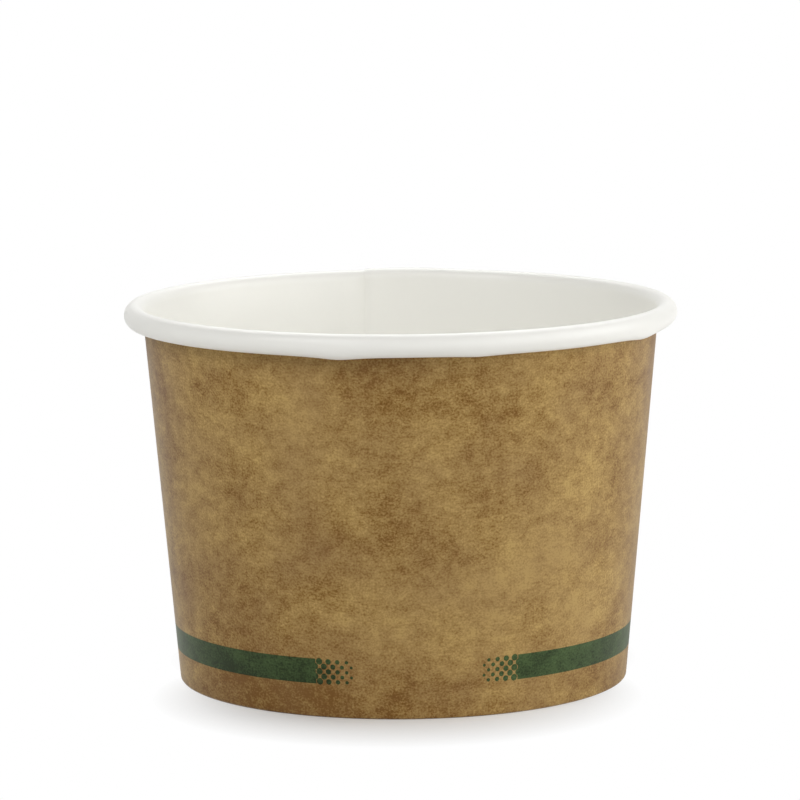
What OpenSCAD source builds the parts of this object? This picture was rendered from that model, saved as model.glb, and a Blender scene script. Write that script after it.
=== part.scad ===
// Paper bowl for hot food, made from two pieces of coated board.
// The side wall is a fan-shaped blank, wrapped into a cone and lapped at one seam. Its top edge is
// rolled outwards and its bottom edge is folded inwards and up round the skirt of the base disc.
// +Z is up and the origin is on the axis, in the plane that the bowl stands on. -Y is the front.

/* [Bowl] */
// Diameter across the rolled rim
rim_d = 115; // [100:0.5:140]
// Outside diameter at the foot
base_d = 93.5; // [80:0.5:98]
// Height over the rolled rim
height = 79; // [50:0.5:120]
// Thickness of the board
board = 0.4; // [0.3:0.02:0.5]
// Thickness of the melted coating between two pressed layers
film = 0.02; // [0.01:0.01:0.05]

/* [Rolled rim] */
// Width of the roll, measured outwards from the inside face of the wall
roll_w = 4.3; // [3.8:0.1:6]
// Height of the roll
roll_h = 4.8; // [4:0.1:6.5]
// How far the board turns, from the wall to its hidden end
roll_turn = 440; // [380:5:460]

/* [Side seam] */
// Direction of the middle of the lap, seen from above and measured from +X
seam_at = 94; // [0:1:359]
// Width that the two ends of the blank overlap
seam_lap = 8; // [5:0.5:14]
// Width over which the upper end comes back down beside the lower one
seam_ease = 5; // [4:0.5:8]

/* [Base] */
// Height of the underside of the base disc over the foot
recess = 7.6; // [6:0.2:14]
// Height of the folded hem inside the foot
hem_h = 6.4; // [4:0.2:7]
// Inside radius of the bend between the disc and its skirt
skirt_bend = 0.6; // [0.4:0.1:1.2]

/* [Print] */
// Height of the lower edge of the stripe over the foot
stripe_z = 7; // [2:0.5:40]
// Width of the stripe
stripe_w = 5.1; // [2:0.1:15]
// Direction of the middle of the gap in the stripe, from the front towards the right
stripe_gap_at = 3.3; // [-30:0.1:30]
// Length of the gap between the solid ends of the stripe, round the wall
stripe_gap = 42; // [10:1:80]

/* [Hidden] */

KRAFT = [0.59, 0.48, 0.30];
STRIPE_GREEN = [0.24, 0.29, 0.20];
COATED_WHITE = [0.95, 0.95, 0.94];

round_steps = 128;   // flats round the bowl where the display needs them
roll_step = 10;      // degrees of roll between two points of its outline
fold_step = 18;      // degrees of a fold between two points of its outline
foot_flat = 36;      // degrees of the fold at the foot that are pressed flat
lap_points = 8;      // flats across the lap seam

base_r = base_d / 2;
rim_r = rim_d / 2;

// The roll: half-axes of the middle of the board, and its centre.
roll_a = roll_w / 2 - board / 2;
roll_b = roll_h / 2 - board / 2;
roll_r = rim_r - roll_w / 2;
roll_z = height - roll_h / 2;

// The wall leaves the foot and meets the roll where the roll has the wall's own slope.
first_slope = atan((rim_r - roll_w + board - base_r) / roll_z);
roll_from = 180 - atan(roll_b / roll_a * tan(first_slope));
neck = [roll_r + roll_a * cos(roll_from), roll_z + roll_b * sin(roll_from)];
neck_run = neck - [base_r, 0];
slope = atan(neck_run.x / neck_run.y) + asin(board / 2 / norm(neck_run));

// A place near the wall, in a section through the axis: how far up the slope of the outside face,
// and how far behind that face.
up_wall = [sin(slope), cos(slope)];
behind_wall = [-cos(slope), sin(slope)];
function wall_place(up, behind) = [base_r, 0] + up * up_wall + behind * behind_wall;
function behind_at(z, behind) = wall_place((z - behind * sin(slope)) / cos(slope), behind);

// Layers at the foot, from the outside inwards: wall, skirt of the base, hem.
wall_mid = board / 2;
skirt_mid = 1.5 * board + film;
hem_mid = 2.5 * board + 2 * film;
fold_r = (hem_mid - wall_mid) / 2;
fold_mid = behind_at(fold_r * cos(foot_flat / 2) + board / 2, skirt_mid);

// Middle of the wall's board: down the hem, round the fold, up the wall and round the roll, which
// closes in by one layer in the half turn after its widest point.
roll_close = board + 4 * film;
function roll_in(turned) = roll_close * max(0, turned - 180) / 180;
function roll_point(turned) =
    [roll_r + (roll_a - roll_in(turned)) * cos(roll_from - turned),
     roll_z + (roll_b - roll_in(turned)) * sin(roll_from - turned)];

function on_circle(middle, r, angle) = middle + r * [cos(angle), sin(angle)];
hem_path = [wall_place(hem_h, hem_mid)];
fold_path = [for (a = concat(
    [180 - slope],
    [for (a = [180 + fold_step : fold_step : 270 - foot_flat / 2]) a],
    [for (a = [270 + foot_flat / 2 : fold_step : 360 - fold_step]) a],
    [360 - slope])) on_circle(fold_mid, fold_r, a)];
roll_path = [for (turned = [0 : roll_step : roll_turn]) roll_point(turned)];
board_path = concat(hem_path, fold_path, roll_path);
neck_i = len(hem_path) + len(fold_path);
last_i = len(board_path) - 1;

// Middle of the base disc's board: out from the axis, round the bend and down the skirt.
bend_r = skirt_bend + board / 2;
disc_z = recess + board / 2;
bend_mid = behind_at(disc_z - bend_r, skirt_mid + bend_r);
base_path = concat(
    [[0, disc_z]],
    [for (a = [90 : -fold_step / 2 : 0]) on_circle(bend_mid, bend_r, a)],
    [on_circle(bend_mid, bend_r, -slope), fold_mid]);

// The point beside a path's point i that keeps the distance d from both runs that meet there, with
// d measured to the left of the path.
function left_of(run) = [-run.y, run.x] / norm(run);
function beside(path, i, d) =
    let (
        before = left_of(i == 0 ? path[1] - path[0] : path[i] - path[i - 1]),
        after = left_of(i == len(path) - 1 ? path[i] - path[i - 1] : path[i + 1] - path[i]),
        between = (before + after) / norm(before + after)
    )
    path[i] + d / (between * before) * between;

// Part of a path, thickened to the board's two faces.
module board_strip(path, from, to) {
    polygon(concat(
        [for (i = [from : to]) beside(path, i, board / 2)],
        [for (i = [to : -1 : from]) beside(path, i, -board / 2)]));
}

module ring() {
    rotate_extrude($fn = round_steps) children();
}

// The lap seam. Its section lies across the wall, with x outwards from the outside face and y
// round the wall, and drop() bends it to the wall's mean curve.
wall_r = (base_r + rim_r - roll_w) / 2;
lap_end = seam_lap / 2;
lap_foot = 2 * board;
lap_top = (height - roll_h) / cos(slope);
function drop(y) = sqrt(wall_r * wall_r - y * y) - wall_r;
function lap_side(x, from, to) =
    [for (i = [0 : lap_points]) let (y = from + (to - from) * i / lap_points) [drop(y) + x, y]];

module along_seam(from, to) {
    rotate([0, 0, seam_at]) translate([base_r, 0, 0]) rotate([0, slope, 0])
        translate([0, 0, from]) linear_extrude(to - from) children();
}

// The outer end of the blank, which lies on the inner end and eases back to the wall beside it.
module outer_end() {
    along_seam(lap_foot, lap_top)
        polygon(concat(
            lap_side(board, -lap_end, lap_end),
            [[drop(lap_end + seam_ease) - board / 4, lap_end + seam_ease]],
            [[drop(lap_end) - board / 2, lap_end]],
            lap_side(-board / 2, lap_end, -lap_end)));
}

// The same end where the hem has been folded up inside the foot.
module hem_end() {
    hem_back = hem_mid + board / 2;
    along_seam(lap_foot, hem_h)
        polygon(concat(
            lap_side(board / 2 - hem_back, -lap_end, lap_end),
            lap_side(-board - hem_back, lap_end, -lap_end)));
}

// The groove beside the cut edge of the inner end, where the outer end steps down to the inside.
module inner_step() {
    along_seam(lap_foot + hem_h, lap_top - board)
        polygon([
            [drop(lap_end) - 2 * board, lap_end],
            [drop(lap_end), lap_end],
            [drop(lap_end + seam_ease) - board, lap_end + seam_ease],
            [drop(lap_end + seam_ease) - 2 * board, lap_end + seam_ease]]);
}

// The inner end over the roll, where it is the outer layer of the two.
roll_lap_angle = seam_lap / rim_r * 180 / PI;
function roll_lap(turned) = board * min(1, turned / 50, max(0, 270 - turned) / 40);
module roll_end() {
    roll_lap_last = neck_i + floor(270 / roll_step);
    rotate_extrude(angle = roll_lap_angle, start = seam_at - roll_lap_angle / 2, $fn = round_steps)
        polygon(concat(
            [for (i = [neck_i : roll_lap_last])
                beside(board_path, i, board / 2 + roll_lap((i - neck_i) * roll_step))],
            [for (i = [roll_lap_last : -1 : neck_i]) board_path[i]]));
}

module wall_cone() {
    difference() {
        union() {
            ring() board_strip(board_path, 0, neck_i);
            outer_end();
            hem_end();
        }
        inner_step();
    }
}

module rolled_rim() {
    ring() board_strip(board_path, neck_i, last_i);
    roll_end();
}

// The space that the printed stripe takes up: a band round the wall, open at the front.
module stripe_zone() {
    gap_angle = stripe_gap / base_r * 180 / PI;
    rotate_extrude(angle = 360 - gap_angle, start = -90 + stripe_gap_at + gap_angle / 2,
                   $fn = round_steps)
        polygon([
            behind_at(stripe_z, board / 2),
            behind_at(stripe_z, -2 * board),
            behind_at(stripe_z + stripe_w, -2 * board),
            behind_at(stripe_z + stripe_w, board / 2)]);
}

module side_wall() {
    color(KRAFT) difference() {
        wall_cone();
        stripe_zone();
    }
    color(STRIPE_GREEN) intersection() {
        wall_cone();
        stripe_zone();
    }
    color(COATED_WHITE) rolled_rim();
}

module base_disc() {
    color(COATED_WHITE) ring() board_strip(base_path, 0, len(base_path) - 1);
}

side_wall();
base_disc();
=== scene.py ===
"""Looks of a paper bowl for hot food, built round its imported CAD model.

The file is laid out as a Blender add-on, with one operator for each piece and one for the stage, and
it is run as a script. Lengths are in metres and angles in radians. +Z is up, -Y is the front, and the
bowl stands on the plane z = 0 with its axis on the Z axis.
"""

import math

import bpy
import numpy as np
from bpy.props import FloatProperty, FloatVectorProperty, IntProperty, PointerProperty
from bpy.types import Operator, Panel, PropertyGroup
from mathutils import Matrix, Vector


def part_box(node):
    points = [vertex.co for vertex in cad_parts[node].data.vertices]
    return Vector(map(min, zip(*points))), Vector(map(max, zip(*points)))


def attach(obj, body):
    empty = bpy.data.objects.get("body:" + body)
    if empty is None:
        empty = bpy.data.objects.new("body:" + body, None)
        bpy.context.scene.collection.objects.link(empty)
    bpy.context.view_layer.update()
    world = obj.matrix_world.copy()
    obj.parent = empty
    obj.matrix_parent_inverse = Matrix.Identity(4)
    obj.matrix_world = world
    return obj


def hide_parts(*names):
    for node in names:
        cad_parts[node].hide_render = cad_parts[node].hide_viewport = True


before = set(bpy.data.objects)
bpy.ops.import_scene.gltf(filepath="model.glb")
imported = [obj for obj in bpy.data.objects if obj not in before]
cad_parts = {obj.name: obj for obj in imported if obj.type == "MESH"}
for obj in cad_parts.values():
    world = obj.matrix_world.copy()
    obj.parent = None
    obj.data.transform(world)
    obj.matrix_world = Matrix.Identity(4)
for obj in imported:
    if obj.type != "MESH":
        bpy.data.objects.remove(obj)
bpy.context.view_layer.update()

bl_info = {
    "name": "Paper bowl",
    "version": (1, 0, 0),
    "blender": (4, 5, 0),
    "location": "3D View > Sidebar > Paper bowl",
    "description": "A lapped and rolled paper bowl with its base disc, on a pale stage",
    "category": "Add Mesh",
}

MM = 0.001
DEGREE = math.pi / 180
RIM_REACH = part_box("side_wall")[1].x
FRONT = 270 * DEGREE  # direction of the front, turned from +X as seen from above


def linear(hex_colour):
    """An sRGB hex colour as linear RGBA, by the sRGB curve."""
    srgb = np.array([int(hex_colour[i : i + 2], 16) for i in (1, 3, 5)]) / 255
    channels = np.where(srgb <= 0.04045, srgb / 12.92, ((srgb + 0.055) / 1.055) ** 2.4)
    return (*channels.tolist(), 1.0)


def length(name, description, value):
    """A property that holds a length."""
    return FloatProperty(
        name=name,
        description=description,
        default=value,
        min=0,
        precision=5,
        unit="LENGTH",
        subtype="DISTANCE",
    )


def angle(name, description, value):
    """A property that holds an angle."""
    return FloatProperty(
        name=name, description=description, default=value, unit="ROTATION", subtype="ANGLE"
    )


def colour(name, description, hex_colour):
    """A property that holds a linear colour, given as sRGB hex."""
    return FloatVectorProperty(
        name=name,
        description=description,
        default=linear(hex_colour),
        size=4,
        min=0,
        max=1,
        subtype="COLOR",
    )


class BowlSizes(PropertyGroup):
    """The bowl's own sizes, the same as the CAD model's where it has them."""

    rim_radius: length("Rim radius", "From the axis to the widest point of the rolled rim", RIM_REACH)
    foot_radius: length("Foot radius", "Outside radius where the wall meets the foot", 46.75 * MM)
    height: length("Height", "From the foot to the top of the rolled rim", 79 * MM)
    board: length("Board", "Thickness of the board", 0.4 * MM)
    film: length("Film", "Thickness of the melted coating between two layers", 0.02 * MM)
    roll_width: length("Roll width", "From the wall's inside face to the rim's widest point", 4.3 * MM)
    roll_height: length("Roll height", "Height of the rolled rim", 4.8 * MM)
    roll_turn: angle("Roll turn", "How far the board turns, from the wall to its hidden end", 440 * DEGREE)
    seam_direction: angle("Seam direction", "Middle of the lap seam, from +X seen from above", 94 * DEGREE)
    seam_lap: length("Seam lap", "Width that the two ends of the blank overlap", 8 * MM)
    seam_ease: length("Seam ease", "Width over which the upper end comes back to the wall", 5 * MM)
    rim_ease: length("Rim ease", "The same on the rolled rim, which is stiffer", 22 * MM)
    hem_height: length("Hem height", "Height of the folded hem inside the foot", 6.4 * MM)
    knurl_pitch: length("Knurl pitch", "Spacing of the ribs pressed into the hem", 2.6 * MM)
    recess: length("Recess", "Height of the underside of the base disc over the foot", 7.6 * MM)
    skirt_bend: length("Skirt bend", "Inside radius of the bend between the disc and its skirt", 0.6 * MM)
    disc_sag: length("Disc sag", "How far the middle of the base disc hangs below its edge", 0.25 * MM)


class StripePrint(PropertyGroup):
    """Places of the printed stripe and of the halftone dots at its two ends."""

    lower_edge: length("Lower edge", "Height of the stripe's lower edge over the foot", 7 * MM)
    width: length("Width", "Width of the stripe", 5.2 * MM)
    gap_direction: angle("Gap direction", "Middle of the gap, from the front to the right", 3.6 * DEGREE)
    gap_length: length("Gap length", "Between the stripe's solid ends, round the wall", 42.05 * MM)
    dot_rows: IntProperty(name="Dot rows", description="Rows of dots over the width", default=5, min=1)
    dot_columns: IntProperty(
        name="Dot columns", description="Half columns of whole dots at each end", default=8, min=1
    )
    column_pitch: length("Column pitch", "Spacing of the half columns of dots", 0.957 * MM)
    first_column: length("First column", "From the solid end to the first half column", 0.8 * MM)
    largest_dot: length("Largest dot", "Diameter of the dots beside the solid end", 1.38 * MM)
    smallest_dot: length("Smallest dot", "Diameter of the dots furthest from it", 0.62 * MM)


class PaperColours(PropertyGroup):
    """Colours of the print, the coating and the bare board."""

    # The light and dark colours of the kraft and of the stripe are mixed partly by the print's own clouds
    # and grain, and partly by painted light and shade: lighter towards the right and darker at the lower
    # left.
    kraft_light: colour("Kraft light", "Light parts of the printed kraft pattern", "#c6a667")
    kraft_dark: colour("Kraft dark", "Dark parts of the printed kraft pattern", "#7b5524")
    kraft_grey: colour("Kraft grey", "Tint of the pattern's greyer parts", "#937451")
    stripe_dark: colour("Stripe dark", "The stripe's ink over dark parts of the pattern", "#20331c")
    stripe_light: colour("Stripe light", "The stripe's ink over light parts", "#48643c")
    coated_white: colour("Coated white", "Coated side of the board", "#fdfcf6")
    bare_white: colour("Bare white", "Uncoated side of the base disc's board", "#efece4")
    cut_edge: colour("Cut edge", "Edges where the board was cut", "#e2d8c3")
    floor: colour("Floor", "Floor that the bowl stands on", "#f3f3f2")


def add_node(tree, kind, inputs=(), **settings):
    """Adds a node with its settings.

    inputs gives each socket, by name or number, a value, a socket to link, or a node, whose first
    output in use is linked.
    """
    node = tree.nodes.new(kind)
    for name, value in settings.items():
        setattr(node, name, value)
    for socket, value in dict(inputs).items():
        if isinstance(value, bpy.types.Node):
            value = next(output for output in value.outputs if output.enabled)
        if isinstance(value, bpy.types.NodeSocket):
            tree.links.new(value, node.inputs[socket])
        else:
            node.inputs[socket].default_value = value
    return node


def new_material(name):
    """An empty node material, with its tree."""
    material = bpy.data.materials.new(name)
    material.use_nodes = True
    material.node_tree.nodes.clear()
    return material, material.node_tree


def finish_material(tree, base_colour, roughness, specular, height, bump_distance, sheen=0.0):
    """Ends a paper's tree with its bump, shader and output."""
    bump = add_node(
        tree, "ShaderNodeBump", {"Strength": 1.0, "Distance": bump_distance, "Height": height}
    )
    shader = add_node(
        tree,
        "ShaderNodeBsdfPrincipled",
        {
            "Base Color": base_colour,
            "Roughness": roughness,
            "IOR": 1.5,
            "Specular IOR Level": specular,
            "Sheen Weight": sheen,
            "Sheen Roughness": 0.4,
            "Normal": bump,
        },
    )
    add_node(tree, "ShaderNodeOutputMaterial", {"Surface": shader})


def stripe_share(tree, stripe):
    """1 where green ink is printed, else 0: a band round the wall that ends in dots at its gap.

    The map "print" counts half columns of dots from the solid end into the gap, and rows from the
    lowest. Only every second crossing has a dot, so turned by 45 degrees and drawn in by the root of
    a half, the dots lie on whole numbers. Rounding there finds the nearest dot. One more half column
    of the largest dots has its middle just behind the solid end and makes its edge bumpy.
    """
    place = add_node(tree, "ShaderNodeUVMap", uv_map="print")
    turn, size = 45 * DEGREE, math.sqrt(0.5)
    lattice = add_node(
        tree,
        "ShaderNodeMapping",
        {"Vector": place, "Location": (0.5, 0.5, 0), "Rotation": (0, 0, turn), "Scale": (size, size, 1)},
    )
    nearest = add_node(tree, "ShaderNodeVectorMath", {0: lattice}, operation="FLOOR")
    dot = add_node(
        tree,
        "ShaderNodeMapping",
        {"Vector": nearest, "Rotation": (0, 0, -turn), "Scale": (1 / size, 1 / size, 1)},
    )
    off = add_node(tree, "ShaderNodeVectorMath", {0: place, 1: dot}, operation="SUBTRACT")
    pitches = (stripe.column_pitch, stripe.width / stripe.dot_rows, 0)
    off = add_node(tree, "ShaderNodeVectorMath", {0: off, 1: pitches}, operation="MULTIPLY")
    off = add_node(tree, "ShaderNodeVectorMath", {0: off}, operation="LENGTH")
    here = add_node(tree, "ShaderNodeSeparateXYZ", {"Vector": place}).outputs
    there = add_node(tree, "ShaderNodeSeparateXYZ", {"Vector": dot}).outputs
    reach = add_node(
        tree,
        "ShaderNodeMapRange",
        {
            "Value": there["X"],
            "From Max": stripe.dot_columns - 1.0,
            "To Min": stripe.largest_dot / 2,
            "To Max": stripe.smallest_dot / 2,
        },
    )
    middle, half = (stripe.dot_rows - 1) / 2, stripe.dot_rows / 2
    in_dot = add_node(tree, "ShaderNodeMath", {0: off, 1: reach}, operation="LESS_THAN")
    in_rows = add_node(tree, "ShaderNodeMath", {0: there["Y"], 1: middle, 2: half}, operation="COMPARE")
    columns = stripe.dot_columns / 2
    in_columns = add_node(
        tree, "ShaderNodeMath", {0: there["X"], 1: columns - 1, 2: columns + 0.5}, operation="COMPARE"
    )
    dots = add_node(tree, "ShaderNodeMath", {0: in_dot, 1: in_rows}, operation="MULTIPLY")
    dots = add_node(tree, "ShaderNodeMath", {0: dots, 1: in_columns}, operation="MULTIPLY")
    in_band = add_node(tree, "ShaderNodeMath", {0: here["Y"], 1: middle, 2: half}, operation="COMPARE")
    end = -stripe.first_column / stripe.column_pitch
    solid = add_node(tree, "ShaderNodeMath", {0: here["X"], 1: end}, operation="LESS_THAN")
    solid = add_node(tree, "ShaderNodeMath", {0: solid, 1: in_band}, operation="MULTIPLY")
    return add_node(tree, "ShaderNodeMath", {0: solid, 1: dots}, operation="MAXIMUM")


# Noises that make up the kraft pattern's lightness, the first of them painted light and shade: size round
# the wall, size up it, place in the noise, detail, roughness, distortion and how much each one counts.
KRAFT_TONES_AND_PAINTED_LIGHT = (
    # Painted light and shade: placed and weighted so that the wall is lighter towards the right and darker
    # at the lower left.
    (60 * MM, 60 * MM, (242.95, 211.8), 1.0, 0.5, 0.0, 1.14),
    (20 * MM, 16 * MM, (68.74, 180.38), 2.0, 0.7, 0.4, 1.28),
    (3.2 * MM, 2.6 * MM, (7.4, 0.0), 3.0, 0.7, 0.2, 1.4),
    (0.8 * MM, 0.5 * MM, (11.1, 0.0), 1.0, 0.6, 0.0, 0.56),
    (0.44 * MM, 0.42 * MM, (14.8, 0.0), 1.0, 0.6, 0.0, 1.28),
)
# The slower noise of its greyer parts: place in the noise, size, and the values between which the
# pattern goes over to grey, with the largest share of grey.
HUE_PLACE = (139.64, 171.88, 0)
HUE_SIZE = 17 * MM
GREYNESS = (0.35, 0.7, 0.35)
INK_COVER = 0.96  # share of the pattern that the ink hides


def kraft_print(colours, stripe):
    """Kraft pattern printed on the board's outside by offset: matt, with a paper's faint bloom at its
    edges, soft clouds of lighter and darker brown, fine fibres that lie across the sheet, and grain. Its
    yellower and greyer parts wander slowly. Its widest noise is painted light and shade, which makes the
    wall lighter and yellower towards the right and darker at the lower left. The stripe's ink lies over
    it, is lighter where the pattern is, so that it carries the same painted light and shade, and lets a
    little of it through."""
    material, tree = new_material("kraft_printed_board")
    place = add_node(tree, "ShaderNodeUVMap", uv_map="blank")
    tone_and_painted_light = 0.5 - sum(layer[-1] for layer in KRAFT_TONES_AND_PAINTED_LIGHT) / 2
    for wide, high, start, detail, roughness, distortion, weight in KRAFT_TONES_AND_PAINTED_LIGHT:
        sheet = add_node(
            tree,
            "ShaderNodeMapping",
            {"Vector": place, "Location": (*start, 0), "Scale": (1 / wide, 1 / high, 1)},
        )
        layer = add_node(
            tree,
            "ShaderNodeTexNoise",
            {
                "Vector": sheet,
                "Scale": 1.0,
                "Detail": detail,
                "Roughness": roughness,
                "Distortion": distortion,
            },
        )
        tone_and_painted_light = add_node(tree, "ShaderNodeMath", {0: layer, 1: weight, 2: tone_and_painted_light}, operation="MULTIPLY_ADD")
    # Mixes the kraft's dark and light colours by the print's own clouds and grain, and by the painted
    # light and shade of the widest noise.
    kraft = add_node(
        tree,
        "ShaderNodeMix",
        {"Factor": tone_and_painted_light, "A": tuple(colours.kraft_dark), "B": tuple(colours.kraft_light)},
        data_type="RGBA",
    )
    sheet = add_node(
        tree,
        "ShaderNodeMapping",
        {"Vector": place, "Location": HUE_PLACE, "Scale": (1 / HUE_SIZE,) * 3},
    )
    hue = add_node(tree, "ShaderNodeTexNoise", {"Vector": sheet, "Scale": 1.0, "Detail": 2.0})
    least, most, share = GREYNESS
    greyness = add_node(
        tree, "ShaderNodeMapRange", {"Value": hue, "From Min": least, "From Max": most, "To Max": share}
    )
    kraft = add_node(
        tree,
        "ShaderNodeMix",
        {"Factor": greyness, "A": kraft, "B": tuple(colours.kraft_grey)},
        data_type="RGBA",
    )
    # The ink's two colours follow the same mix: mottled with the print below, and partly painted light and
    # shade, lighter towards the right and darker at the lower left.
    ink = add_node(
        tree,
        "ShaderNodeMix",
        {"Factor": tone_and_painted_light, "A": tuple(colours.stripe_dark), "B": tuple(colours.stripe_light)},
        data_type="RGBA",
    )
    cover = add_node(
        tree, "ShaderNodeMath", {0: stripe_share(tree, stripe), 1: INK_COVER}, operation="MULTIPLY"
    )
    printed = add_node(
        tree, "ShaderNodeMix", {"Factor": cover, "A": kraft, "B": ink}, data_type="RGBA"
    )
    finish_material(
        tree, printed, roughness=0.6, specular=0.1, height=layer, bump_distance=0.02 * MM, sheen=0.35
    )
    return material


def coated_white_board(colours):
    """Bleached board under an extruded coating: white with a soft, slightly uneven gloss."""
    material, tree = new_material("coated_white_board")
    place = add_node(tree, "ShaderNodeTexCoord").outputs["Object"]
    ripple = add_node(
        tree,
        "ShaderNodeTexNoise",
        {"Vector": place, "Scale": 1 / (1.2 * MM), "Detail": 3.0, "Roughness": 0.55},
    )
    roughness = add_node(
        tree, "ShaderNodeMapRange", {"Value": ripple, "To Min": 0.34, "To Max": 0.46}
    )
    white = tuple(colours.coated_white)
    finish_material(tree, white, roughness, specular=0.5, height=ripple, bump_distance=0.012 * MM)
    return material


def fibrous_board(name, colours, fibre_size, contrast, roughness, tooth):
    """Board without coating: fibres of two whites, drawn by noise, that also raise the surface by the
    height of its tooth. A smaller contrast number parts the two whites more sharply."""
    material, tree = new_material(name)
    place = add_node(tree, "ShaderNodeTexCoord").outputs["Object"]
    fibre = add_node(
        tree,
        "ShaderNodeTexNoise",
        {"Vector": place, "Scale": 1 / fibre_size, "Detail": 3.0, "Roughness": 0.6, "Distortion": 0.6},
    )
    share = add_node(
        tree,
        "ShaderNodeMapRange",
        {"Value": fibre, "From Min": 0.5 - contrast, "From Max": 0.5 + contrast},
    )
    tinted = add_node(
        tree,
        "ShaderNodeMix",
        {"Factor": share, "A": tuple(colours.cut_edge), "B": tuple(colours.bare_white)},
        data_type="RGBA",
    )
    finish_material(tree, tinted, roughness, specular=0.25, height=fibre, bump_distance=tooth)
    return material


def bare_white_board(colours):
    """The board's uncoated side, under the base disc: flat white with a fibrous tooth of 0.6 mm."""
    return fibrous_board(
        "bare_white_board", colours, 0.6 * MM, contrast=0.2, roughness=0.8, tooth=0.03 * MM
    )


def cut_board_edge(colours):
    """Knife-cut edge of the board: cream and matt, with its broken fibres 0.25 mm long."""
    return fibrous_board(
        "cut_board_edge", colours, 0.25 * MM, contrast=0.15, roughness=0.9, tooth=0.05 * MM
    )


def smooth_step(value, start, end):
    """0 before start, 1 after end, and a smooth S between them."""
    share = np.clip((value - start) / (end - start), 0, 1)
    return share * share * (3 - 2 * share)


def on_circle(middle, radius, angles):
    """Points of a circle in the section, at angles from the way outwards."""
    return middle + np.stack([radius * np.cos(angles), radius * np.sin(angles)], axis=-1)


def mitred_left(path):
    """For each point of a path, the step to its left that moves both runs there by one unit."""
    runs = np.diff(path, axis=0)
    left = np.stack([-runs[:, 1], runs[:, 0]], axis=-1) / np.linalg.norm(runs, axis=1)[:, None]
    before = np.concatenate([left[:1], left])
    after = np.concatenate([left, left[-1:]])
    between = before + after
    between /= np.linalg.norm(between, axis=1)[:, None]
    return between / (between * before).sum(axis=1)[:, None]


FOOT_FLAT = 36 * DEGREE  # part of the fold at the foot that is pressed flat


class WallSection:
    """Lines that the board follows in a section through the axis, as points (radius, height).

    The wall leaves the foot and meets the roll where the roll has the wall's own slope. Each place
    near it is given by how far it is up the slope of the outside face, and how far behind that face.
    """

    def __init__(self, sizes):
        self.sizes = sizes
        board = sizes.board
        self.roll_half = np.array([sizes.roll_width, sizes.roll_height]) / 2 - board / 2
        self.roll_middle = np.array(
            [sizes.rim_radius - sizes.roll_width / 2, sizes.height - sizes.roll_height / 2]
        )
        first_slope = math.atan(
            (sizes.rim_radius - sizes.roll_width + board - sizes.foot_radius) / self.roll_middle[1]
        )
        self.roll_from = math.pi - math.atan(
            self.roll_half[1] / self.roll_half[0] * math.tan(first_slope)
        )
        self.neck = self.roll_middle + self.roll_half * np.array(
            [math.cos(self.roll_from), math.sin(self.roll_from)]
        )
        run = self.neck - np.array([sizes.foot_radius, 0])
        self.slope = math.atan2(run[0], run[1]) + math.asin(board / 2 / np.linalg.norm(run))
        self.up_wall = np.array([math.sin(self.slope), math.cos(self.slope)])
        self.behind_wall = np.array([-math.cos(self.slope), math.sin(self.slope)])
        wall_mid = board / 2
        self.skirt_mid = 1.5 * board + sizes.film
        self.hem_mid = 2.5 * board + 2 * sizes.film
        self.fold_radius = (self.hem_mid - wall_mid) / 2
        self.foot_flat = FOOT_FLAT
        self.fold_middle = self.behind_at(
            self.fold_radius * math.cos(self.foot_flat / 2) + board / 2, self.skirt_mid
        )

    def place(self, up, behind):
        """The point that far up the slope and that far behind the wall's outside face."""
        return (
            np.array([self.sizes.foot_radius, 0])
            + np.multiply.outer(up, self.up_wall)
            + behind * self.behind_wall
        )

    def behind_at(self, height, behind):
        """The point at that height and that far behind the wall's outside face."""
        return self.place((height - behind * math.sin(self.slope)) / math.cos(self.slope), behind)

    def hem(self, steps):
        """Down the hem, from its cut edge to the fold."""
        up = np.linspace(self.sizes.hem_height, 0, steps + 1)[:-1]
        return self.place(up, self.hem_mid)

    def fold(self, steps):
        """Round the fold at the foot, a half circle whose lowest part is pressed flat."""
        turn = np.linspace(math.pi, 2 * math.pi, steps + 1) - self.slope
        from_lowest = np.abs(turn - 1.5 * math.pi)
        pressed = math.cos(self.foot_flat / 2) / np.cos(np.minimum(from_lowest, self.foot_flat / 2))
        return on_circle(self.fold_middle, self.fold_radius * np.minimum(1, pressed), turn)

    def roll(self, turned):
        """Round the roll, an ellipse that closes in by one layer for each half turn past the first."""
        close = (self.sizes.board + 4 * self.sizes.film) * np.maximum(0, turned - math.pi) / math.pi
        half = self.roll_half - close[:, None]
        turn = self.roll_from - turned
        return self.roll_middle + half * np.stack([np.cos(turn), np.sin(turn)], axis=-1)


# Small creases in the rolled rim that let its lower edge down: direction from the front to the right,
# depth, and the width over which each fades. The first three show from the front.
RIM_CREASES = (
    (-12.8 * DEGREE, 0.52 * MM, 3.3 * MM),
    (15.7 * DEGREE, 0.25 * MM, 3.0 * MM),
    (61.5 * DEGREE, 0.55 * MM, 3.6 * MM),
    (-104 * DEGREE, 0.35 * MM, 4.0 * MM),
    (131 * DEGREE, 0.3 * MM, 3.4 * MM),
)
KNURL_DEPTH = 0.09 * MM
KNURL_FADE = 1.5 * MM  # length over which the ribs fade towards both edges of the hem
ROLL_PRESSED = 0.85  # share of its thickness that the board keeps where the roll laps itself
END_SKIVED = 0.65  # share of its thickness that the inner end's white face loses at the cut edge
SKIVE_WIDTH = 1.2 * MM
FOOT_CHANGE = (0.8 * MM, 3.2 * MM)  # heights between which the lapping ends change places
ROLL_CHANGE = 50 * DEGREE  # turn on the roll over which they change back
STEPS_ROUND_WALL = 700
# Steps of the section: on the hem, round the fold, on the wall close over the foot and on the rest of
# it, and round the roll.
HEM_STEPS, FOLD_STEPS, FOOT_STEPS, WALL_STEPS, ROLL_STEPS = 4, 8, 4, 12, 40
CLOSE_OVER_FOOT = (0.8 * MM, 3.6 * MM)


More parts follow.
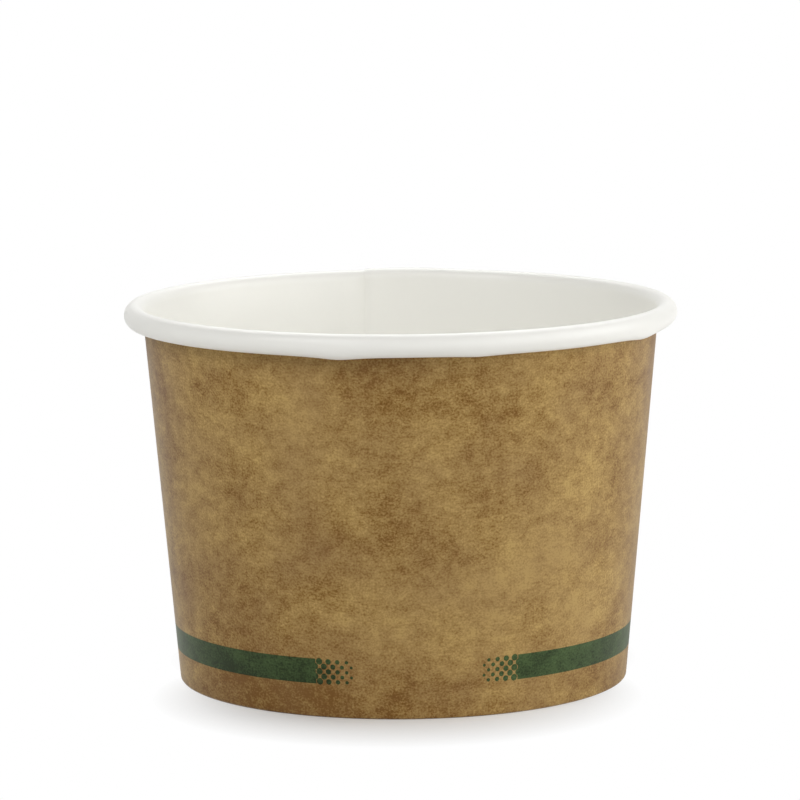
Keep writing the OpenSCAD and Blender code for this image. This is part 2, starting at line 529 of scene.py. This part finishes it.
def wall_path(section):
    """The side wall's middle line and, for each point, its way up the blank from the end of the fold
    and its turn on the roll."""
    sizes = section.sizes
    fold = section.fold(FOLD_STEPS)
    run = section.neck - fold[-1]
    along = np.linalg.norm(run)
    over_foot = np.linspace(*CLOSE_OVER_FOOT, FOOT_STEPS + 1)
    up = np.concatenate([over_foot, np.linspace(over_foot[-1], along, WALL_STEPS + 1)[1:-1]])
    wall = fold[-1] + np.multiply.outer(up / along, run)
    turned = np.linspace(0, sizes.roll_turn, ROLL_STEPS + 1)
    path = np.concatenate([section.hem(HEM_STEPS), fold, wall, section.roll(turned)])
    way = np.concatenate([[0], np.cumsum(np.linalg.norm(np.diff(path, axis=0), axis=1))])
    way -= way[HEM_STEPS + FOLD_STEPS]
    turned = np.concatenate([np.zeros(len(path) - len(turned)), turned])
    return path, way, turned


def wrapped_wall(sizes, stripe):
    """The side wall as a fan-shaped blank of board, wrapped round the axis until its ends lap.

    Every point is the path's point, moved to its left or right by half the board, and turned round
    the axis. Where the ends lap, the path itself moves by one layer: the outer end to the right on
    the wall and the hem, and the inner end to the left on the fold and the roll, where it is the
    outer layer of the two. Each shift is 1 over the lap and eases to 0 beside it.
    """
    section = WallSection(sizes)
    path, way, turned = wall_path(section)
    left = mitred_left(path)
    radius = path[:, 0]
    half_lap = np.arcsin(sizes.seam_lap / 2 / radius)
    start = sizes.seam_direction - half_lap
    span = 2 * math.pi + 2 * half_lap
    share = np.linspace(0, 1, STEPS_ROUND_WALL + 1)[:, None]
    turn = start + share * span

    on_outer_end = 1 - smooth_step(turn - start - 2 * half_lap, 0, sizes.seam_ease / radius)
    on_inner_end = 1 - smooth_step(
        start + span - turn - 2 * half_lap, 0, sizes.rim_ease / radius
    )
    in_lap = np.maximum(turn - start < 2 * half_lap, start + span - turn < 2 * half_lap)
    on_roll = turned > 0
    inner_moves = np.where(
        on_roll,
        smooth_step(turned, 0, ROLL_CHANGE),
        1 - smooth_step(path[:, 1], *FOOT_CHANGE),
    )
    pressed = 1 - (1 - ROLL_PRESSED) * smooth_step(turned, 0, ROLL_CHANGE)
    layer = sizes.board * pressed + sizes.film
    shift = layer * (inner_moves * on_inner_end - (1 - inner_moves) * on_outer_end)
    half_board = sizes.board / 2 * np.where(in_lap, pressed, 1)

    to_inner_end = (start + span - turn) * radius
    white_side = half_board - sizes.board * END_SKIVED * (1 - smooth_step(to_inner_end, 0, SKIVE_WIDTH))
    white_face, printed_face = (
        np.stack([radius + off * left[:, 0], path[:, 1] + off * left[:, 1]], axis=-1)
        for off in (shift + white_side, shift - half_board)
    )
    outline = np.concatenate([white_face, printed_face[:, ::-1]], axis=1)
    turn = np.concatenate([turn, turn[:, ::-1]], axis=1)
    way = np.concatenate([way, way[::-1]])
    turned = np.concatenate([turned, turned[::-1]])
    outline = pressed_hem(sizes, outline, turn, way)
    outline = creased_rim(sizes, outline, turn, turned)
    points = np.stack(
        [outline[..., 0] * np.cos(turn), outline[..., 0] * np.sin(turn), outline[..., 1]], axis=-1
    )

    apex = sizes.foot_radius / math.sin(section.slope)
    fan_turn = (turn - FRONT) * math.sin(section.slope)
    blank = np.stack(
        [(apex + way) * np.sin(fan_turn), (apex + way) * np.cos(fan_turn) - apex], axis=-1
    )
    stripe_middle = stripe.lower_edge + stripe.width / 2
    stripe_radius = sizes.foot_radius + stripe_middle * math.tan(section.slope)
    outside_height = (way + section.fold_middle[1]) * math.cos(section.slope)
    around = np.abs(turn - FRONT - stripe.gap_direction) * stripe_radius
    column = (stripe.gap_length / 2 - around - stripe.first_column) / stripe.column_pitch
    row = (outside_height - stripe.lower_edge) / stripe.width * stripe.dot_rows - 0.5
    printed = np.stack([column, np.broadcast_to(row, column.shape)], axis=-1)
    return points, {"blank": blank, "print": printed}, len(path)


def pressed_hem(sizes, outline, turn, way):
    """Ribs pressed into the hem: a cosine round the foot, which fades out towards the fold and towards
    the hem's cut edge."""
    ribs = round(2 * math.pi * sizes.foot_radius / sizes.knurl_pitch)
    fold_length = 3 * sizes.board
    hem_edge = sizes.hem_height + 2 * sizes.board
    over_fold = smooth_step(-way - fold_length, 0, KNURL_FADE)
    strength = over_fold * smooth_step(way + hem_edge, 0, KNURL_FADE)
    depth = KNURL_DEPTH * strength * (0.5 - 0.5 * np.cos(ribs * turn))
    return outline + np.stack([depth, np.zeros_like(depth)], axis=-1)


def creased_rim(sizes, outline, turn, turned):
    """Lets the rim's lower edge down at each crease, by its depth over the hyperbolic cosine of the way
    round from it in widths, and by less towards the top of the roll. The roll's first quarter turn,
    on the inside of the bowl, stays as it is."""
    below_top = (sizes.height - outline[..., 1]) / sizes.roll_height
    share = np.where(turned > 90 * DEGREE, smooth_step(below_top, 0, 1), 0)
    drop = np.zeros_like(turn)
    for direction, depth, width in RIM_CREASES:
        off = turn - FRONT - direction
        off = (off + math.pi) % (2 * math.pi) - math.pi
        drop += depth / np.cosh(off * sizes.rim_radius / width)
    return outline - np.stack([np.zeros_like(drop), drop * share], axis=-1)


def grid_faces(rows, columns, closed):
    """Corner numbers of the faces of a grid, in an order that faces outwards for a section whose
    outline runs with its outside on the left."""
    row = np.arange(rows - 1)[:, None]
    column = np.arange(columns if closed else columns - 1)[None, :]
    after = (column + 1) % columns
    return np.stack(
        np.broadcast_arrays(
            row * columns + column,
            row * columns + after,
            (row + 1) * columns + after,
            (row + 1) * columns + column,
        ),
        axis=-1,
    ).reshape(-1, 4)


def make_piece(name, points, faces, surfaces, materials, maps):
    """A mesh object from points, faces, each face's material number, and UV maps given at the points."""
    mesh = bpy.data.meshes.new(name)
    mesh.from_pydata(points.tolist(), [], faces)
    for material in materials:
        mesh.materials.append(material)
    mesh.polygons.foreach_set("material_index", np.asarray(surfaces, np.int32))
    corners = np.empty(len(mesh.loops), np.int32)
    mesh.loops.foreach_get("vertex_index", corners)
    for map_name, places in maps.items():
        layer = mesh.uv_layers.new(name=map_name)
        layer.data.foreach_set("uv", places[corners].astype(np.float32).ravel())
    mesh.polygons.foreach_set("use_smooth", np.ones(len(mesh.polygons), bool))
    mesh.update()
    mesh.set_sharp_from_angle(angle=40 * DEGREE)
    piece = bpy.data.objects.new(name, mesh)
    bpy.context.scene.collection.objects.link(piece)
    return piece


# Material numbers of a piece's faces: the coated side, the other side and the cut edges.
COATED, OTHER, CUT = 0, 1, 2


class PAPERBOWL_OT_side_wall(Operator):
    """Build the side wall with its lap seam, rolled rim and folded foot"""

    bl_idname = "paper_bowl.side_wall"
    bl_label = "Side wall"

    def execute(self, context):
        bowl = context.scene.paper_bowl
        points, maps, rows = wrapped_wall(bowl.sizes, bowl.stripe)
        round_steps, outline_points = points.shape[:2]
        sheet = grid_faces(round_steps, outline_points, closed=True)
        surface = np.full(outline_points, OTHER)
        surface[: rows - 1] = COATED
        surface[[rows - 1, outline_points - 1]] = CUT
        surfaces = np.tile(surface, round_steps - 1)
        first = np.arange(rows - 1)
        opposite = outline_points - 1 - first
        end = np.stack([first, opposite, opposite - 1, first + 1], axis=-1)
        last_ring = (round_steps - 1) * outline_points
        caps = np.concatenate([end, end[:, ::-1] + last_ring])
        faces = np.concatenate([sheet, caps])
        surfaces = np.concatenate([surfaces, np.repeat([CUT, COATED], len(end))])
        materials = [
            coated_white_board(bowl.colours),
            kraft_print(bowl.colours, bowl.stripe),
            cut_board_edge(bowl.colours),
        ]
        wall = make_piece(
            "wrapped_side_wall",
            points.reshape(-1, 3),
            faces.tolist(),
            surfaces,
            materials,
            {name: places.reshape(-1, 2) for name, places in maps.items()},
        )
        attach(wall, "root")
        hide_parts("side_wall")
        return {"FINISHED"}


STEPS_ROUND_DISC = 240
DISC_STEPS, BEND_STEPS, SKIRT_STEPS = 13, 7, 6
SAG_FALL = 1.15  # the sag is gone where this times the square of the radius's share is 1
SKIRT_LIFT = 1.1  # how far the skirt stops short in the lap, in thicknesses of the board


def disc_outline(sizes):
    """The base disc's outline in a section: out over the top, down the skirt, and back underneath.

    It also gives each point's share of the way down the skirt, and how many points the top has.
    """
    section = WallSection(sizes)
    bend_radius = sizes.skirt_bend + sizes.board / 2
    disc_height = sizes.recess + sizes.board / 2
    bend_middle = section.behind_at(disc_height - bend_radius, section.skirt_mid + bend_radius)
    flat = np.linspace((0, disc_height), (bend_middle[0], disc_height), DISC_STEPS + 1)[:-1]
    bend_turn = np.linspace(90 * DEGREE, -section.slope, BEND_STEPS + 1)
    bend = on_circle(bend_middle, bend_radius, bend_turn)
    share = np.linspace(0, 1, SKIRT_STEPS + 1)[1:]
    skirt = bend[-1] + np.multiply.outer(share, section.fold_middle - bend[-1])
    path = np.concatenate([flat, bend, skirt])
    left = mitred_left(path)
    top = path + left * sizes.board / 2
    bottom = path - left * sizes.board / 2
    down_skirt = np.concatenate([np.zeros(len(flat) + len(bend)), share])
    return (
        np.concatenate([top, bottom[::-1]]),
        np.concatenate([down_skirt, down_skirt[::-1]]),
        len(path),
    )


class PAPERBOWL_OT_base_disc(Operator):
    """Build the base disc with its skirt, which the folded foot grips"""

    bl_idname = "paper_bowl.base_disc"
    bl_label = "Base disc"

    def execute(self, context):
        bowl = context.scene.paper_bowl
        points, faces, surfaces = turned_disc(bowl.sizes)
        materials = [
            coated_white_board(bowl.colours),
            bare_white_board(bowl.colours),
            cut_board_edge(bowl.colours),
        ]
        disc = make_piece("dished_base_disc", points, faces, surfaces, materials, {})
        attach(disc, "root")
        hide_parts("base_disc")
        return {"FINISHED"}


def turned_disc(sizes):
    """The base disc's outline carried round the axis and closed at its middle.

    The disc hangs by its sag, which falls off with the square of the radius's share, and the skirt
    stops a layer short where the lapped wall needs the room in the fold.
    """
    outline, down_skirt, rows = disc_outline(sizes)
    turn = np.linspace(0, 2 * math.pi, STEPS_ROUND_DISC, endpoint=False)[:, None]
    radius = outline[1:-1, 0]
    reach = radius / sizes.foot_radius
    from_seam = (turn - sizes.seam_direction + math.pi) % (2 * math.pi) - math.pi
    in_lap = 1 - smooth_step(np.abs(from_seam) * sizes.foot_radius, sizes.seam_lap / 2, sizes.seam_lap)
    height = (
        outline[1:-1, 1]
        - sizes.disc_sag * np.clip(1 - SAG_FALL * reach**2, 0, 1)
        + SKIRT_LIFT * sizes.board * in_lap * down_skirt[1:-1] ** 4
    )
    ring = np.stack([radius * np.cos(turn), radius * np.sin(turn), height], axis=-1)
    poles = [[0, 0, outline[end, 1] - sizes.disc_sag] for end in (0, -1)]
    count = ring.shape[1]
    closed_ring = np.concatenate([ring, ring[:1]])
    sheet = grid_faces(len(closed_ring), count, closed=False)[:, ::-1] % (STEPS_ROUND_DISC * count)
    here = np.arange(STEPS_ROUND_DISC) * count
    after = (here + count) % (STEPS_ROUND_DISC * count)
    top_pole = np.full(STEPS_ROUND_DISC, STEPS_ROUND_DISC * count)
    top_fan = np.stack([top_pole, here, after], axis=-1)
    bottom_fan = np.stack([top_pole + 1, after + count - 1, here + count - 1], axis=-1)
    surface = np.full(count - 1, OTHER)
    surface[: rows - 2] = COATED
    surface[rows - 2] = CUT
    surfaces = np.concatenate(
        [
            np.tile(surface, STEPS_ROUND_DISC),
            np.full(STEPS_ROUND_DISC, COATED),
            np.full(STEPS_ROUND_DISC, OTHER),
        ]
    )
    points = np.concatenate([ring.reshape(-1, 3), poles])
    return points, sheet.tolist() + top_fan.tolist() + bottom_fan.tolist(), surfaces


# Where the photographer's camera stood: its distance from the origin, how high it stood as an angle,
# how far it was tilted up from looking at the origin, how far it was turned about its own axis, and
# how far the photograph's frame is off its middle, as a share of its width.
CAMERA_DISTANCE = 0.98819
CAMERA_ELEVATION = 0.2020
CAMERA_TILT = 0.0581
CAMERA_ROLL = -0.0083
CAMERA_SHIFT = -0.0016
CAMERA_LENS = 211.0
FLOOR_RADIUS = 6.0
FLOOR_STEPS, FLOOR_RINGS = 96, 12
FLOOR_FIRST_RING = 0.002  # the innermost ring's number, as a share of the last one's
FLOOR_DROP = 0.02 * MM
# Where the camera sees the floor's own light, with the bowl's shadow on it: the middle of each patch, how
# far it reaches whole, how far it fades out, and its share of the light there.
SHADOW_PATCHES = (
    ((-1.2 * MM, -22.5 * MM, 0), 27 * MM, 50.5 * MM, 0.95),
    ((0, 18 * MM, 0), 26 * MM, 50 * MM, 0.9),
)


def floor_material(colours):
    """Matt white sweep. Close round the foot the camera sees its own light, with the bowl's soft shadow,
    and further out that goes over into plain white, so that the floor ends in a white background."""
    material, tree = new_material("matt_white_sweep")
    place = add_node(tree, "ShaderNodeTexCoord").outputs["Object"]
    own_light = 0.0
    for middle, whole, end, share in SHADOW_PATCHES:
        way = add_node(tree, "ShaderNodeVectorMath", {0: place, 1: middle}, operation="DISTANCE")
        patch = add_node(
            tree,
            "ShaderNodeMapRange",
            {"Value": way, "From Min": whole, "From Max": end, "To Min": share, "To Max": 0.0},
        )
        own_light = add_node(tree, "ShaderNodeMath", {0: own_light, 1: patch}, operation="MAXIMUM")
    plain = add_node(tree, "ShaderNodeMath", {0: 1.0, 1: own_light}, operation="SUBTRACT")
    share = add_node(
        tree, "ShaderNodeMath", {0: seen_directly(tree), 1: plain}, operation="MULTIPLY"
    )
    lit = add_node(tree, "ShaderNodeBsdfDiffuse", {"Color": tuple(colours.floor)})
    white = add_node(tree, "ShaderNodeEmission", {"Color": (1, 1, 1, 1), "Strength": 1.0})
    mixed = add_node(tree, "ShaderNodeMixShader", {0: share, 1: lit, 2: white})
    add_node(tree, "ShaderNodeOutputMaterial", {"Surface": mixed})
    return material


def seen_directly(tree):
    """1 for rays from the camera and for reflections and transmissions, else 0."""
    rays = add_node(tree, "ShaderNodeLightPath").outputs
    direct = add_node(
        tree,
        "ShaderNodeMath",
        {0: rays["Is Camera Ray"], 1: rays["Is Glossy Ray"]},
        operation="MAXIMUM",
    )
    return add_node(
        tree, "ShaderNodeMath", {0: direct, 1: rays["Is Transmission Ray"]}, operation="MAXIMUM"
    )


def add_floor(colours):
    """A round floor: rings of points whose radius grows with the square of their number."""
    turn = np.linspace(0, 2 * math.pi, FLOOR_STEPS + 1)[:, None]
    radius = FLOOR_RADIUS * np.linspace(FLOOR_FIRST_RING, 1, FLOOR_RINGS) ** 2
    height = np.full((FLOOR_STEPS + 1, FLOOR_RINGS), -FLOOR_DROP)
    points = np.stack([radius * np.cos(turn), radius * np.sin(turn), height], axis=-1)
    points = points.reshape(-1, 3)
    faces = grid_faces(FLOOR_STEPS + 1, FLOOR_RINGS, closed=False)[:, ::-1].tolist()
    faces.append((np.arange(FLOOR_STEPS) * FLOOR_RINGS).tolist())
    floor = make_piece(
        "floor", points, faces, np.zeros(len(faces)), [floor_material(colours)], {}
    )


def add_softbox(name, place, aim, width, height, power):
    """A rectangular area lamp that looks from place towards aim."""
    lamp = bpy.data.lights.new(name, "AREA")
    lamp.shape = "RECTANGLE"
    lamp.size = width
    lamp.size_y = height
    lamp.energy = power
    holder = bpy.data.objects.new(name, lamp)
    holder.location = place
    holder.rotation_euler = (Vector(aim) - Vector(place)).to_track_quat("-Z", "Y").to_euler()
    bpy.context.scene.collection.objects.link(holder)


def light_world(ambient):
    """A white background for the camera and for reflections, and a plain ambient light for the rest."""
    world = bpy.data.worlds.new("white_studio")
    bpy.context.scene.world = world
    world.use_nodes = True
    tree = world.node_tree
    tree.nodes.clear()
    strength = add_node(
        tree, "ShaderNodeMapRange", {"Value": seen_directly(tree), "To Min": ambient, "To Max": 1.0}
    )
    background = add_node(
        tree, "ShaderNodeBackground", {"Color": (1, 1, 1, 1), "Strength": strength}
    )
    add_node(tree, "ShaderNodeOutputWorld", {"Surface": background})


def add_camera():
    """The camera at the photograph's place, worked out from its elevation, tilt and roll."""
    camera = bpy.data.cameras.new("camera")
    camera.lens = CAMERA_LENS
    camera.sensor_width = 36.0
    camera.sensor_fit = "HORIZONTAL"
    camera.shift_x = CAMERA_SHIFT
    camera.clip_end = 20.0
    holder = bpy.data.objects.new("camera", camera)
    place = Vector((0, -math.cos(CAMERA_ELEVATION), math.sin(CAMERA_ELEVATION))) * CAMERA_DISTANCE
    look = Matrix.Rotation(math.pi / 2 - CAMERA_ELEVATION + CAMERA_TILT, 4, "X")
    holder.matrix_world = Matrix.Translation(place) @ look @ Matrix.Rotation(CAMERA_ROLL, 4, "Z")
    bpy.context.scene.collection.objects.link(holder)
    bpy.context.scene.camera = holder


# Lamps: name, place, width, height and power in watts. All of them look at one point in the bowl.
SOFTBOXES = (
    ("softbox_left", (-1.0, 0.0, 0.45), 0.7, 0.7, 1.1),
    ("softbox_left_high", (-0.55, -0.6, 0.85), 0.6, 0.6, 5.0),
    ("softbox_front", (0.0, -1.0, 0.4), 0.7, 0.4, 0.93),
    ("softbox_right_front", (0.75, -0.75, 0.45), 0.6, 0.7, 2.7),
    ("softbox_right", (1.0, 0.0, 0.45), 0.7, 0.7, 4.9),
    ("softbox_right_low", (1.0, 0.0, 0.15), 0.5, 0.25, 0.29),
    ("softbox_back", (0.0, 0.8, 0.9), 0.8, 0.5, 5.2),
)
LAMP_AIM = (0, 0, 0.04)
AMBIENT = 0.0


class PAPERBOWL_OT_stage(Operator):
    """Build the pale floor, the soft lamps, the white surroundings and the camera"""

    bl_idname = "paper_bowl.stage"
    bl_label = "Stage"

    def execute(self, context):
        add_floor(context.scene.paper_bowl.colours)
        for name, place, width, height, power in SOFTBOXES:
            add_softbox(name, place, LAMP_AIM, width, height, power)
        light_world(AMBIENT)
        context.scene.view_settings.view_transform = "Standard"
        add_camera()
        return {"FINISHED"}


class PaperBowl(PropertyGroup):
    """Everything about the bowl that a user would change."""

    sizes: PointerProperty(type=BowlSizes)
    stripe: PointerProperty(type=StripePrint)
    colours: PointerProperty(type=PaperColours)


class PAPERBOWL_PT_sidebar(Panel):
    """Lists the bowl's operators, sizes and colours in the 3D view's sidebar"""

    bl_idname = "PAPERBOWL_PT_sidebar"
    bl_label = "Paper bowl"
    bl_space_type = "VIEW_3D"
    bl_region_type = "UI"
    bl_category = "Paper bowl"

    def draw(self, context):
        for operator in OPERATORS:
            self.layout.operator(operator.bl_idname)
        bowl = context.scene.paper_bowl
        for group in (bowl.sizes, bowl.stripe, bowl.colours):
            box = self.layout.box()
            for name in group.__annotations__:
                box.prop(group, name)


OPERATORS = (PAPERBOWL_OT_side_wall, PAPERBOWL_OT_base_disc, PAPERBOWL_OT_stage)
CLASSES = (BowlSizes, StripePrint, PaperColours, PaperBowl, *OPERATORS, PAPERBOWL_PT_sidebar)


def register():
    for one in CLASSES:
        bpy.utils.register_class(one)
    bpy.types.Scene.paper_bowl = PointerProperty(type=PaperBowl)


def unregister():
    del bpy.types.Scene.paper_bowl
    for one in reversed(CLASSES):
        bpy.utils.unregister_class(one)


def main():
    """Builds the bowl and its stage."""
    register()
    bpy.ops.paper_bowl.side_wall()
    bpy.ops.paper_bowl.base_disc()
    bpy.ops.paper_bowl.stage()


if __name__ == "__main__":
    main()
